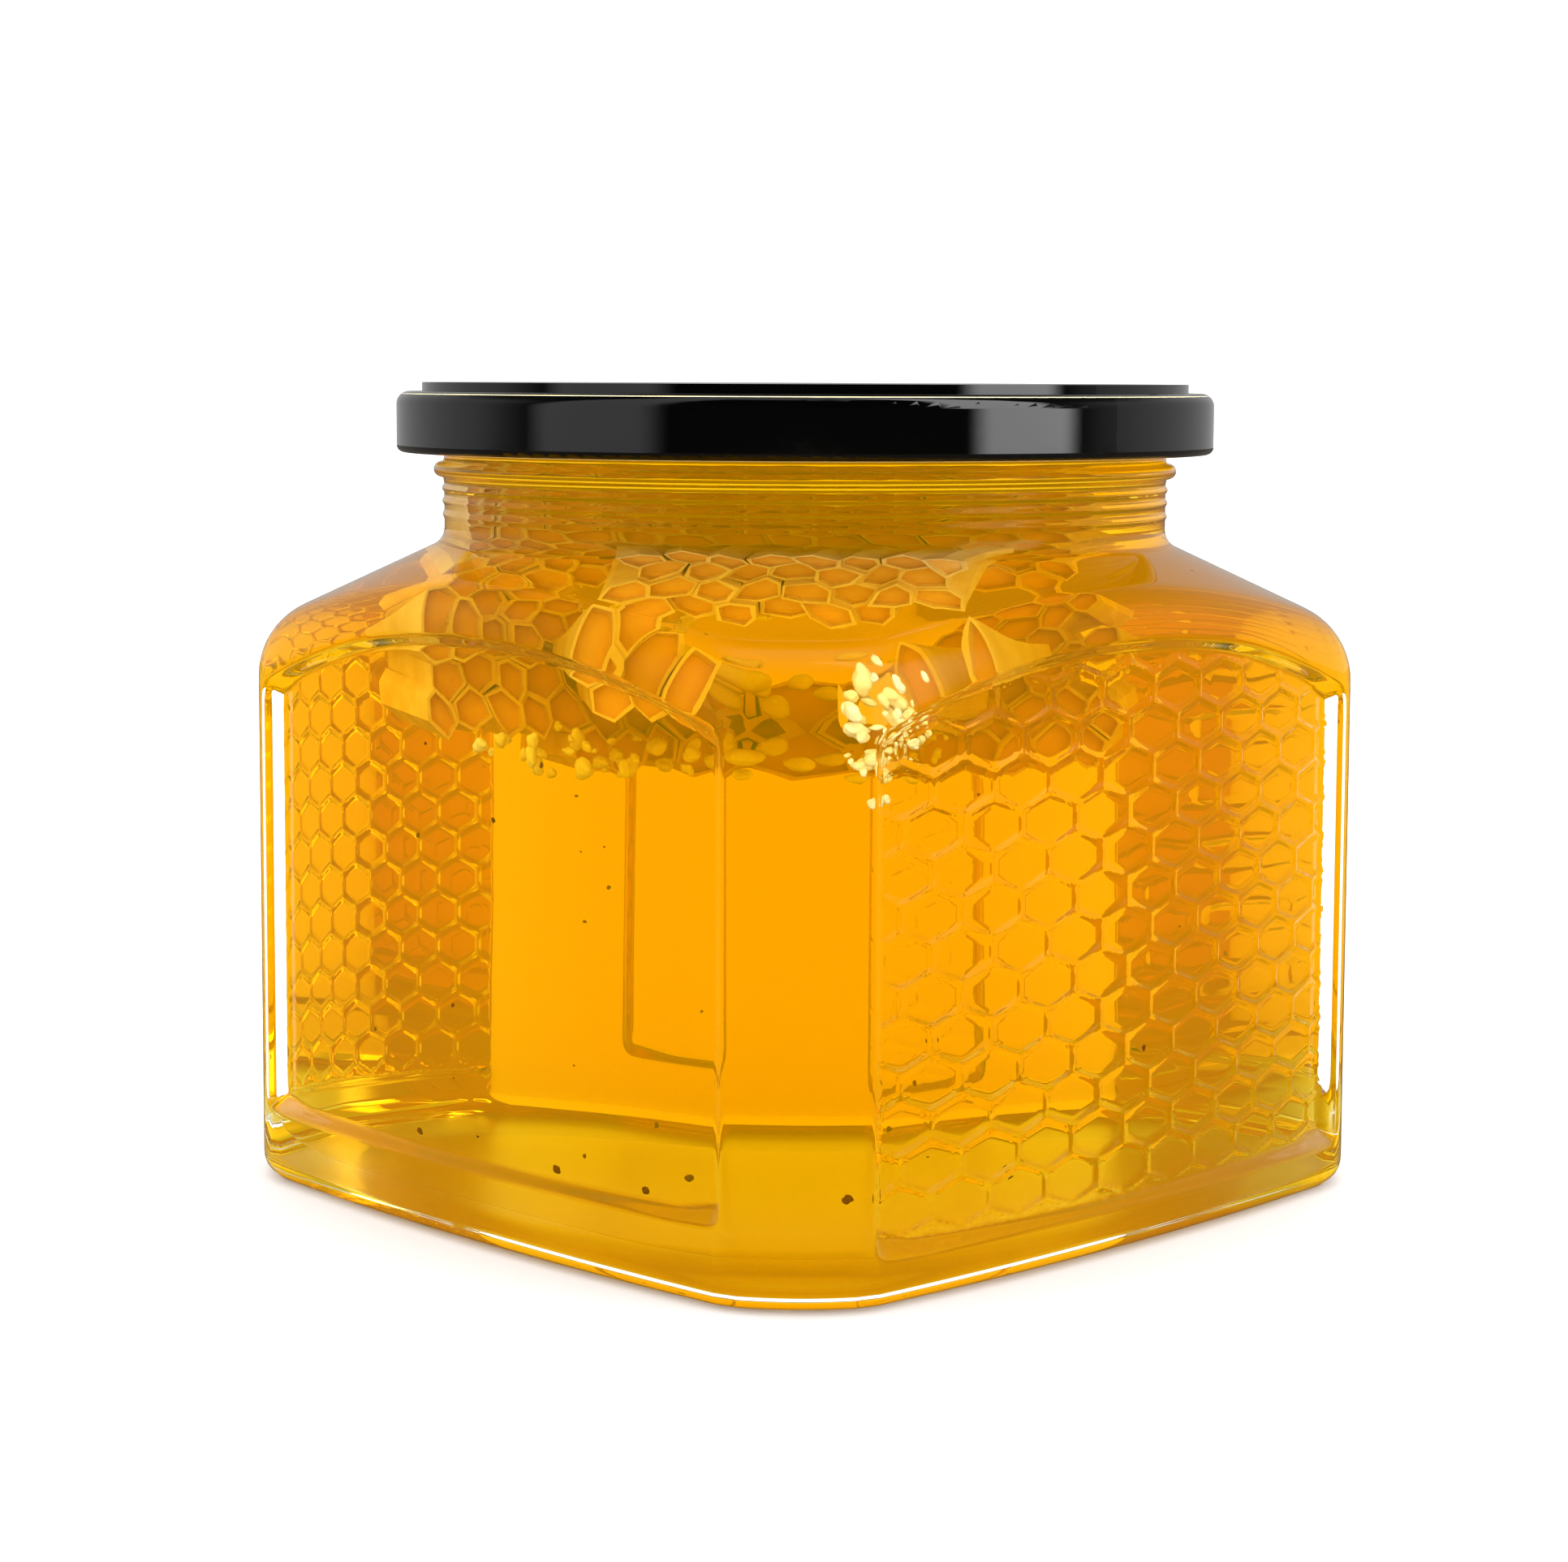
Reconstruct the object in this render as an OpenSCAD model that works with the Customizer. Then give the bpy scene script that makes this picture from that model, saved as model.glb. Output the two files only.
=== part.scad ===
// Square honey jar with bowed sides, honeycomb relief on two of them,
// smooth label panels on the other two, and a round twist-off lid.
// Millimetres, Z up, the jar stands on Z = 0 with its axis on the origin.

/* [Body] */
// Distance from the axis to the middle of a side
side_reach = 56.5; // [50:0.5:66]
// Radius of the bow of each side, seen from above
bow_r = 370; // [250:10:900]
// Distance from the axis to the face of a corner column
corner_reach = 69; // [64:0.5:76]
// Glass thickness of the sides
side_wall = 3.2; // [2:0.1:5]
// Glass thickness of the corner columns
corner_wall = 5.5; // [4:0.1:8]
// Glass thickness of the base
base_wall = 7; // [5:0.5:12]
// Rounding of the bottom edge
heel_r = 3.5; // [2:0.5:5]
// Rounding between the base and the sides inside
floor_r = 7; // [4:0.5:9]
// Height of the hollow under the base
punt_h = 1.8; // [1:0.1:3]
// Radius of the hollow under the base
punt_r = 43; // [36:1:48]
// Width of the slanted rim of that hollow
punt_side = 5; // [3:1:8]

/* [Shoulder and neck] */
// Height where the corner columns start to round over
crown_z = 64.2; // [50:0.2:90]
// Radius of the rounding over the corner columns
crown_r = 10; // [7:0.5:13]
// Slope of the shoulder, degrees from level
shoulder_slope = 25; // [18:1:34]
// How much thinner the glass of the shoulder is than that of the columns
crown_lift = 2; // [0:0.1:2.4]
// Outer radius of the neck
neck_r = 45.6; // [42:0.2:48]
// Hollow rounding between the shoulder and the neck
neck_fillet = 2.5; // [1.5:0.5:4]
// Glass thickness of the neck
neck_wall = 3.4; // [2:0.1:5]
// How far the bead under the lid stands out from the neck
bead_out = 1.3; // [0.8:0.1:2]
// Height of the bead under the lid
bead_h = 2; // [1.5:0.1:3]
// How far the rim stands out from the neck inside the lid
rim_out = 2.6; // [2:0.1:3.2]
// Distance from the middle of the bead up to the rim's lower edge
rim_rise = 3.4; // [2.5:0.1:4]
// Height of the rim inside the lid
rim_h = 5.6; // [4:0.1:9]
// Distance from the start of the neck up to the middle of the bead
bead_rise = 9.1; // [5:0.2:12]

/* [Panels] */
// Half width of a side panel
panel_half = 42.4; // [36:0.2:44]
// How deep a panel lies below the side
panel_depth = 1; // [0.6:0.1:1.4]
// Height of the top of a panel's arch above the column top
arch_rise = 8.4; // [6:0.2:9]
// Radius of a panel's arch
arch_r = 146; // [120:2:220]
// Rounding of a panel's lower corners
panel_corner_r = 5; // [3:0.5:8]
// Height of the label panels' lower edge
label_low = 9.2; // [7:0.2:14]
// Height of the honeycomb panels' lower edge
comb_low = 5.6; // [4.5:0.2:12]

/* [Honeycomb relief] */
// Width of one cell
cell_w = 8.8; // [8:0.1:13]
// Height from one row of cells to the next
row_h = 4.67; // [4:0.01:8]
// Width of the ridge between two cells
ridge_w = 1.1; // [0.8:0.1:1.6]
// How far the ridges stand out from the panel
ridge_h = 0.7; // [0.5:0.1:0.9]
// Sideways shift of the pattern on its panel
comb_shift = -1.9; // [-4.4:0.1:4.4]
// Height of the middle of the lowest row above the panel's lower edge
comb_rise = 4.6; // [2:0.1:8]

/* [Honey] */
// Gap between the honey and the glass
fill_gap = 0.05; // [0.02:0.01:0.2]
// Distance from the rim down to the level of the honey
fill_drop = 2.2; // [1:0.1:3]

/* [Lid] */
// Thickness of the lid's sheet
lid_wall = 0.8; // [0.5:0.1:1]
// Gap between the rim and the lid's skirt
skirt_gap = 2.5; // [1.5:0.1:3]
// Height of the lid's skirt below the rim's top
skirt_drop = 6.8; // [5:0.1:8]
// Radius of the rolled edge of the skirt
curl_r = 0.9; // [0.6:0.1:1]
// Rounding of the lid's outer edge
lid_edge_r = 1.6; // [1.2:0.1:2.2]
// Width of the low ring round the lid's raised middle
ledge_w = 3.2; // [2.5:0.1:4]
// How far the middle of the lid is raised
raise_h = 1.1; // [0.8:0.1:2]
// Radius of the safety button
button_r = 9; // [7:0.5:12]
// How far the safety button is sunk
button_h = 0.5; // [0.3:0.1:0.6]

/* [Hidden] */
fine = 96;                                   // facets of a round
eps = 0.01;
slope_sink = 0.1;                            // lets a crown's rounding cross the slope, not graze it
bow_centre = bow_r - side_reach;             // how far a bow's axis lies behind the jar's axis
neck_z = slope_at(neck_r, corner_reach, crown_r, crown_z);
bead_z = neck_z + bead_rise;
rim_z = bead_z + rim_rise;
rim_top = rim_z + rim_h;
rim_r = neck_r + rim_out;
bore_r = neck_r - neck_wall;
lid_r = rim_r + skirt_gap + lid_wall;
lid_low = rim_top - skirt_drop;
lid_ledge = rim_top + lid_wall;
lid_top = lid_ledge + raise_h;
fill_z = rim_top - fill_drop;
arch_z = crown_z + arch_rise;

// A ring-shaped corner to take away: what is left of it is a quarter round of radius r
module quarter_cut(r) {
    difference() {
        square([r + 1, r + 1]);
        circle(r, $fn = fine);
    }
}

// Height of the shoulder's straight slope at radius r, for a crown of radius round_r
function slope_at(r, reach, round_r, top) =
    top + round_r * cos(shoulder_slope)
    + (reach - round_r * (1 - sin(shoulder_slope)) - r) * tan(shoulder_slope) - slope_sink;

// Outline of the jar on its diagonal, from the foot to the neck
module diagonal_profile(reach, round_r, top, foot, foot_r) {
    line_r = reach - round_r * (1 - sin(shoulder_slope));
    inner_r = neck_r / 2;
    difference() {
        union() {
            translate([0, foot]) square([reach, top - foot]);
            translate([reach - round_r, top]) circle(round_r, $fn = fine);
            polygon([
                [0, top - 1],
                [line_r, top - 1],
                [line_r, slope_at(line_r, reach, round_r, top)],
                [inner_r, slope_at(inner_r, reach, round_r, top)],
                [0, slope_at(inner_r, reach, round_r, top)]
            ]);
        }
        translate([reach - foot_r, foot + foot_r]) mirror([0, 1]) quarter_cut(foot_r);
    }
}

// Outline of one bowed side, turned about the axis of its bow
module side_profile(reach, foot, foot_r) {
    difference() {
        translate([0, foot]) square([reach, rim_top + 10 - foot]);
        translate([reach - foot_r, foot + foot_r]) mirror([0, 1]) quarter_cut(foot_r);
    }
}

// Four-sided body with bowed sides and trimmed corners
module body_shape() {
    intersection() {
        rotate_extrude($fn = fine) diagonal_profile(corner_reach, crown_r, crown_z, 0, heel_r);
        for_sides() translate([-bow_centre, 0])
            rotate_extrude($fn = 8 * fine) side_profile(bow_r, 0, heel_r);
    }
}

// Common part of the same shape turned to all four sides
module for_sides() {
    intersection() {
        children();
        rotate(90) children();
        rotate(180) children();
        rotate(270) children();
    }
}

module neck_shape() {
    rotate_extrude($fn = fine) {
        square([neck_r, rim_top]);
        difference() {
            translate([0, neck_z - neck_fillet]) square([neck_r + neck_fillet, 2 * neck_fillet]);
            translate([neck_r + neck_fillet, neck_z + neck_fillet]) circle(neck_fillet, $fn = fine);
        }
        intersection() {
            translate([neck_r + bead_out - bead_h / 2, bead_z]) circle(bead_h / 2, $fn = fine);
            translate([0, bead_z - bead_h]) square([rim_r, 2 * bead_h]);
        }
        translate([0, bead_z - bead_h / 2]) square([neck_r + bead_out - bead_h / 2, bead_h]);
        translate([0, rim_z]) square([rim_r, rim_h]);
    }
}

// Panel outline in its own plane: X across, Y up
module panel_outline(low) {
    r = panel_corner_r;
    intersection() {
        translate([0, arch_z - arch_r]) circle(arch_r, $fn = 4 * fine);
        union() {
            translate([-panel_half, low + r]) square([2 * panel_half, arch_z]);
            translate([-panel_half + r, low]) square([2 * (panel_half - r), arch_z]);
            for (side = [-1, 1]) translate([side * (panel_half - r), low + r]) circle(r, $fn = fine);
        }
    }
}

// Turn a flat outline to stand on the +X side, reaching outward
module stand_on_side(from, thick) {
    translate([from, 0, 0]) rotate([90, 0, 90]) linear_extrude(thick) children();
}

// Cylinder of one bow, moved in by an inset
module bow(inset) {
    translate([-bow_centre, 0, -1]) cylinder(r = bow_r - inset, h = rim_top + 10, $fn = 8 * fine);
}

module panel_cut(low) {
    difference() {
        stand_on_side(side_reach - 8, 10) panel_outline(low);
        bow(panel_depth);
    }
}

// One cell of the honeycomb, its outline moved in by half a ridge
module cell() {
    half = cell_w / 2;
    side = row_h / 3;
    peak = 2 * row_h / 3;
    lean = atan2(peak - side, half);
    reach = peak * cos(lean) - ridge_w / 2;
    w = half - ridge_w / 2;
    s = (reach - w * sin(lean)) / cos(lean);
    p = reach / cos(lean);
    polygon([[w, -s], [w, s], [0, p], [-w, s], [-w, -s], [0, -p]]);
}

module comb_ridges() {
    rows = floor((arch_z - comb_low) / row_h);
    cells = ceil(panel_half / cell_w) + 1;
    intersection() {
        stand_on_side(side_reach - 8, 10) difference() {
            panel_outline(comb_low);
            for (j = [0:rows], i = [-cells:cells])
                translate([comb_shift + (i + (j % 2) / 2) * cell_w, comb_low + comb_rise + j * row_h])
                    cell();
        }
        difference() {
            bow(panel_depth - ridge_h);
            bow(panel_depth + 0.3);
        }
    }
}

// Inside of the jar, moved in by a gap for what fills it
module cavity(gap) {
    inset = corner_wall + gap;
    intersection() {
        rotate_extrude($fn = fine) diagonal_profile(
            corner_reach - inset, crown_r - inset, crown_z + crown_lift, base_wall + gap, floor_r);
        for_sides() bow(side_wall + gap);
    }
    translate([0, 0, base_wall + floor_r]) cylinder(r = bore_r - gap, h = rim_top, $fn = fine);
}

module jar() {
    color("lightblue", 0.4) {
        difference() {
            union() {
                body_shape();
                neck_shape();
            }
            cavity(0);
            punt();
            for (turn = [90, 270]) rotate(turn) panel_cut(label_low);
            for (turn = [0, 180]) rotate(turn) panel_cut(comb_low);
        }
        for (turn = [0, 180]) rotate(turn) comb_ridges();
    }
}

// Shallow hollow under the base
module punt() {
    translate([0, 0, -punt_h])
        cylinder(r1 = punt_r + punt_side, r2 = punt_r - punt_side, h = 2 * punt_h, $fn = fine);
}

module honey() {
    color("orange") intersection() {
        cavity(fill_gap);
        cylinder(r = 2 * corner_reach, h = fill_z);
    }
}

module lid() {
    inner = lid_r - lid_wall;
    plateau = lid_r - ledge_w;
    edge_z = lid_ledge - lid_edge_r;
    color([0.06, 0.06, 0.06]) rotate_extrude($fn = fine) {
        // skirt and rounded outer edge
        difference() {
            union() {
                translate([inner, lid_low + curl_r]) square([lid_wall, edge_z - lid_low - curl_r]);
                translate([lid_r - lid_edge_r, edge_z]) circle(lid_edge_r, $fn = fine);
                translate([plateau, rim_top]) square([ledge_w - lid_edge_r, lid_wall]);
            }
            translate([inner - 4, lid_low]) square([4, rim_top - lid_low]);
        }
        // rolled lower edge
        translate([lid_r - curl_r, lid_low + curl_r]) circle(curl_r, $fn = fine);
        // raised middle with its safety button
        translate([plateau - lid_wall, rim_top]) square([lid_wall + eps, raise_h + lid_wall]);
        translate([button_r, lid_top - lid_wall]) square([plateau - button_r, lid_wall]);
        translate([0, lid_top - lid_wall - button_h]) square([button_r + eps, lid_wall]);
        translate([button_r - eps, lid_top - lid_wall - button_h]) square([lid_wall, lid_wall + button_h]);
    }
}

jar();
honey();
lid();
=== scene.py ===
"""Square honey jar: bowed glass body with honeycomb relief, honey with a piece of comb in it,
and a glossy black twist-off lid, on a white studio sweep."""

import math
import random

import bmesh
import bpy
import numpy as np
from mathutils import Matrix, Vector, geometry


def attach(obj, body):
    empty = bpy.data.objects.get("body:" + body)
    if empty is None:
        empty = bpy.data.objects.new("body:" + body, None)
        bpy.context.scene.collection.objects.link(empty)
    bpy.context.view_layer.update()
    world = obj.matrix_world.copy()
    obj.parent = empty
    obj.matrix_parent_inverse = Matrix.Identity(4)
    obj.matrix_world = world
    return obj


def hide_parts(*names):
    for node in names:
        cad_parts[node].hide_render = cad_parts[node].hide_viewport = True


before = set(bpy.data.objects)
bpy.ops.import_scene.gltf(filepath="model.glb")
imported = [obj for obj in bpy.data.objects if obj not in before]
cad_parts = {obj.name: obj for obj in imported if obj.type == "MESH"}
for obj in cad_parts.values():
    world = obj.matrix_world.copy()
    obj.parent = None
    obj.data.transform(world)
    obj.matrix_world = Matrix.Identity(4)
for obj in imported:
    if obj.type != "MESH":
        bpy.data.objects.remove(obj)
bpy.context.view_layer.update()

MM = 0.001

# ---------------------------------------------------------------- sizes, in mm
SIDE_REACH = 56.5       # axis to the middle of a side
BOW_R = 370.0           # bow of a side, seen from above
CORNER_REACH = 69.4     # axis to the face of a corner column
CORNER_ARC = 31.0       # curve of a column's face
EDGE_HALF = 43.0        # middle of a side to the edge of a column
EDGE_SOFT = 1.5         # rounding window of that edge
FACE_HALF = 44.2        # half width of the strip a side's mesh covers
HEEL_R = 3.5
SLOPE = math.radians(25.0)
CROWN_Z, CROWN_R = 64.2, 10.0
BROW_R = 6.5
NECK_R = 45.6
NECK_FILLET = 2.5
RIM_TOP = 99.4
PANEL_DEPTH = 1.0
PANEL_HALF = 42.3
LABEL_LOW, COMB_LOW = 9.2, 5.6
STEP_W = 1.3            # width of the step round a panel
FLANK_DEPTH = 1.15      # how much deeper a panel lies beside the corner columns
FLANK_W = 1.2           # how much wider its step is there
FLANK_FROM, FLANK_TO = 34.0, 40.5
CELL_W, ROW_H = 8.8, 4.67
RIDGE_H = 0.18
RIDGE_TOP, RIDGE_FOOT = 0.05, 0.62
COMB_SHIFT, COMB_ROW0 = -1.9, 10.2

SIDE_WALL = 3.2
INNER_TURN = 30.0       # rounding of the inner corners, seen from above
FLOOR_Z, FLOOR_R = 4.6, 5.0
BORE_R = 42.2
HONEY_TOP = 97.2

LID_R = 51.5

CAM_AZ = math.radians(45.361)
CAM_DIST, CAM_Z = 427.74, 102.158
CAM_PITCH, CAM_ROLL, CAM_YAW = (math.radians(a) for a in (5.675, 0.211, -0.337))
CAM_LENS = 77.12
CAM_SHIFT_Y = -0.0447


# ---------------------------------------------------------------- small helpers
def smoothstep(a, b, x):
    t = np.clip((np.asarray(x, float) - a) / (b - a), 0.0, 1.0)
    return t * t * (3 - 2 * t)


def srgb(hex_text, alpha=1.0):
    """Hex colour as seen on a screen, turned to linear."""
    h = hex_text.lstrip("#")
    out = []
    for i in (0, 2, 4):
        c = int(h[i:i + 2], 16) / 255
        out.append(c / 12.92 if c <= 0.04045 else ((c + 0.055) / 1.055) ** 2.4)
    return (*out, alpha)


def new_material(name):
    mat = bpy.data.materials.new(name)
    mat.use_nodes = True
    mat.node_tree.nodes.clear()
    return mat


def node(mat, kind, settings=None, links=None, **inputs):
    """Adds a node; links maps an input name or index to an output socket."""
    n = mat.node_tree.nodes.new(kind)
    for key, value in (settings or {}).items():
        setattr(n, key, value)
    for key, value in inputs.items():
        n.inputs[key.replace("_", " ")].default_value = value
    for key, value in (links or {}).items():
        mat.node_tree.links.new(value, n.inputs[key])
    return n


def mesh_object(name, verts, faces, material):
    mesh = bpy.data.meshes.new(name)
    mesh.from_pydata([tuple(v) for v in verts], [], [tuple(int(i) for i in f) for f in faces])
    mesh.validate(clean_customdata=False)
    mesh.update()
    ob = bpy.data.objects.new(name, mesh)
    bpy.context.scene.collection.objects.link(ob)
    mesh.materials.append(material)
    mesh.shade_smooth()
    return ob


class Builder:
    """Collects parts of a surface and welds vertices that fall on one spot."""

    def __init__(self, grain=2e-4):
        self.points, self.index, self.faces, self.grain = [], {}, [], grain

    def vertex(self, p):
        key = tuple(int(round(c / self.grain)) for c in p)
        if key not in self.index:
            self.index[key] = len(self.points)
            self.points.append(tuple(p))
        return self.index[key]

    def face(self, corners):
        ids = [self.vertex(p) for p in corners]
        kept = [v for i, v in enumerate(ids) if v != ids[i - 1]]
        if len(kept) > 2 and len(set(kept)) == len(kept):
            self.faces.append(kept)

    def grid(self, rows, closed=True):
        """rows: equally long lists of points, from the bottom up, counter-clockwise seen from above."""
        n = len(rows[0])
        for low, high in zip(rows, rows[1:]):
            for i in range(n if closed else n - 1):
                j = (i + 1) % n
                self.face([low[i], low[j], high[j], high[i]])

    def to_object(self, name, material):
        verts = [tuple(c * MM for c in p) for p in self.points]
        ob = mesh_object(name, verts, self.faces, material)
        work = bmesh.new()
        work.from_mesh(ob.data)
        bmesh.ops.remove_doubles(work, verts=work.verts, dist=5 * self.grain * MM)
        work.to_mesh(ob.data)
        work.free()
        return ob


# ---------------------------------------------------------------- outline of the body seen from above
def ring_curve(side, corner, arc, half, soft, count=6000):
    """Closed outline: bowed sides and curved corner faces, its edges softened. Starts at the middle of +X."""
    pts = []
    centre = side - BOW_R
    edge = np.array([centre + math.sqrt(BOW_R**2 - half**2), half])
    mirrored = edge[::-1]
    chord = np.linalg.norm(edge - mirrored) / 2
    mid = corner - arc
    a0 = math.asin(min(chord / arc, 1.0))
    for q in range(4):
        turn = np.array([[math.cos(q * math.pi / 2), -math.sin(q * math.pi / 2)],
                         [math.sin(q * math.pi / 2), math.cos(q * math.pi / 2)]])
        u = np.linspace(-half, half, 400, endpoint=False)
        side_pts = np.column_stack([centre + np.sqrt(BOW_R**2 - u**2), u])
        a = math.pi / 4 + np.linspace(-a0, a0, 120, endpoint=False)
        corner_pts = np.column_stack([mid / math.sqrt(2) + arc * np.cos(a), mid / math.sqrt(2) + arc * np.sin(a)])
        shift = edge - corner_pts[0]
        fade = np.linspace(1, 1, len(a))[:, None]
        pts.append(side_pts @ turn.T)
        pts.append((corner_pts + shift * 0 * fade) @ turn.T)
    p = np.concatenate(pts)
    p = resample(p, count)
    step = np.linalg.norm(np.roll(p, -1, 0) - p, axis=1).mean()
    k = max(int(soft / step), 1)
    w = np.hanning(2 * k + 3)[1:-1]
    w /= w.sum()
    out = np.zeros_like(p)
    for i, wi in zip(range(-k, k + 1), w):
        out += wi * np.roll(p, i, axis=0)
    p = resample(out, count)
    # start at the middle of the +X side
    i = np.argmin(np.abs(np.arctan2(p[:, 1], p[:, 0])))
    return np.roll(p, -i, axis=0)


def resample(p, count):
    q = np.vstack([p, p[:1]])
    s = np.concatenate([[0], np.cumsum(np.linalg.norm(np.diff(q, axis=0), axis=1))])
    t = np.linspace(0, s[-1], count, endpoint=False)
    return np.column_stack([np.interp(t, s, q[:, 0]), np.interp(t, s, q[:, 1])])


class Outline:
    """An outline read by the distance along it."""

    def __init__(self, pts):
        self.pts = np.vstack([pts, pts[:1]])
        self.s = np.concatenate([[0], np.cumsum(np.linalg.norm(np.diff(self.pts, axis=0), axis=1))])
        self.length = self.s[-1]
        t = np.roll(pts, -1, 0) - np.roll(pts, 1, 0)
        n = np.column_stack([t[:, 1], -t[:, 0]])
        n /= np.linalg.norm(n, axis=1)[:, None]
        self.normals = np.vstack([n, n[:1]])

    def at(self, s):
        s = np.mod(s, self.length)
        return np.column_stack([np.interp(s, self.s, self.pts[:, 0]), np.interp(s, self.s, self.pts[:, 1])])

    def normal(self, s):
        s = np.mod(s, self.length)
        n = np.column_stack([np.interp(s, self.s, self.normals[:, 0]), np.interp(s, self.s, self.normals[:, 1])])
        return n / np.linalg.norm(n, axis=1)[:, None]


def inner_curve(reach, turn, bow, count=4000):
    """Closed outline of the inside: widely rounded corners between nearly flat sides."""
    a = np.linspace(0, 2 * math.pi, count, endpoint=False)
    c = reach - turn
    pts = []
    for q in range(4):
        t = np.linspace(0, math.pi / 2, count // 4)
        p = np.column_stack([c + turn * np.cos(t), c + turn * np.sin(t)])
        turn_q = np.array([[math.cos(q * math.pi / 2), -math.sin(q * math.pi / 2)],
                           [math.sin(q * math.pi / 2), math.cos(q * math.pi / 2)]])
        pts.append(p @ turn_q.T)
    p = resample(np.concatenate(pts), count)
    i = np.argmin(np.abs(np.arctan2(p[:, 1], p[:, 0])))
    return np.roll(p, -i, axis=0)


outer = Outline(ring_curve(SIDE_REACH, CORNER_REACH, CORNER_ARC, EDGE_HALF, EDGE_SOFT))


def slope_z(r, lift=0.0):
    """Height of the shoulder's straight slope at radius r."""
    start = CORNER_REACH - CROWN_R * (1 - math.sin(SLOPE))
    return CROWN_Z + CROWN_R * math.cos(SLOPE) + (start - r) * math.tan(SLOPE) + lift


def brow_radius(rho):
    t = smoothstep(SIDE_REACH, CORNER_REACH, rho)
    return BROW_R + (CROWN_R - BROW_R) * t


def wall_top(rho):
    """Height where the wall at radius rho starts to round over into the shoulder."""
    r = brow_radius(rho)
    return slope_z(rho - r) - r / math.cos(SLOPE)


# ---------------------------------------------------------------- panels
def panel_rim(low, half, top_of, inset):
    """Closed outline of a panel in its own (across, up) plane, its corners softened."""
    u = np.linspace(-half, half, 160)
    top = np.column_stack([u[::-1], top_of(u[::-1])])
    side_z = np.linspace(low, top_of(np.array([half]))[0], 120)
    left = np.column_stack([np.full(118, -half), side_z[::-1][1:-1]])
    bottom = np.column_stack([u, np.full(160, low)])
    right = np.column_stack([np.full(118, half), side_z[1:-1]])
    p = resample(np.concatenate([bottom, right, top, left]), 1600)
    k = 24
    w = np.hanning(2 * k + 3)[1:-1]
    w /= w.sum()
    out = sum(wi * np.roll(p, i, axis=0) for i, wi in zip(range(-k, k + 1), w))
    t = np.roll(out, -1, 0) - np.roll(out, 1, 0)
    n = np.column_stack([-t[:, 1], t[:, 0]])
    n /= np.linalg.norm(n, axis=1)[:, None]
    return out + n * inset


def rim_distance(p, rim):
    """Distance of each point inside a closed outline, negative outside."""
    a = rim
    b = np.roll(rim, -1, 0)
    best = np.full(len(p), 1e9)
    inside = np.zeros(len(p), bool)
    for k in range(0, len(a)):
        ab = b[k] - a[k]
        t = np.clip(((p - a[k]) @ ab) / (ab @ ab), 0, 1)
        d = np.hypot(p[:, 0] - a[k, 0] - t * ab[0], p[:, 1] - a[k, 1] - t * ab[1])
        best = np.minimum(best, d)
        crosses = (a[k, 1] > p[:, 1]) != (b[k, 1] > p[:, 1])
        with np.errstate(divide="ignore", invalid="ignore"):
            xs = a[k, 0] + (p[:, 1] - a[k, 1]) * ab[0] / ab[1]
        inside ^= crosses & (p[:, 0] < xs)
    return np.where(inside, best, -best)


HEX_SIDE, HEX_PEAK = ROW_H / 3, 2 * ROW_H / 3
HEX_LEAN = math.atan2(HEX_PEAK - HEX_SIDE, CELL_W / 2)
HEX_REACH = HEX_PEAK * math.cos(HEX_LEAN)


def ridge_distance(p):
    """Distance of each panel point to the nearest ridge line of the honeycomb."""
    best = np.full(len(p), -1e9)
    for odd in (0, 1):
        z = p[:, 1] - COMB_ROW0 - odd * ROW_H
        x = p[:, 0] - COMB_SHIFT - odd * CELL_W / 2
        z = np.abs(z - np.round(z / (2 * ROW_H)) * 2 * ROW_H)
        x = np.abs(x - np.round(x / CELL_W) * CELL_W)
        d = np.minimum(CELL_W / 2 - x, HEX_REACH - x * math.sin(HEX_LEAN) - z * math.cos(HEX_LEAN))
        best = np.maximum(best, d)
    return best


def hex_ring(inset):
    """Corner points of one cell's outline moved in, each edge cut in short pieces."""
    w = CELL_W / 2 - inset
    reach = HEX_REACH - inset
    s = (reach - w * math.sin(HEX_LEAN)) / math.cos(HEX_LEAN)
    top = reach / math.cos(HEX_LEAN)
    corners = [(w, -s), (w, s), (0, top), (-w, s), (-w, -s), (0, -top)]
    pts = []
    for i, (a, b) in enumerate(zip(corners, corners[1:] + corners[:1])):
        pieces = 3 if i in (0, 3) else 4
        for k in range(pieces):
            t = k / pieces
            pts.append((a[0] + (b[0] - a[0]) * t, a[1] + (b[1] - a[1]) * t))
    return np.array(pts)


def ease(t, e=0.18):
    """Straight ramp from 0 to 1 with its two ends rounded."""
    t = np.clip(t, 0, 1)
    k = 2 * e * (1 - e)
    mid = (t - e / 2) / (1 - e)
    return np.where(t < e, t * t / k, np.where(t > 1 - e, 1 - (1 - t) ** 2 / k, mid))


def panel_height(p, depth, comb):
    """How far the surface of a side lies from its plain bow at each panel point."""
    d = p[:, 2]
    flank = smoothstep(FLANK_FROM, FLANK_TO, np.abs(p[:, 0]))
    depth = depth + FLANK_DEPTH * (p[:, 0] / FLANK_TO) ** 2
    h = -depth * ease(d / (STEP_W + FLANK_W * flank))
    if comb:
        ridge = RIDGE_H * (1 - smoothstep(RIDGE_TOP, RIDGE_FOOT, ridge_distance(p[:, :2])))
        h = np.maximum(h, -depth + ridge * smoothstep(STEP_W, STEP_W + 1.2, d))
        h = np.where(d > 0, h, np.minimum(h, 0))
    return h


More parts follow.
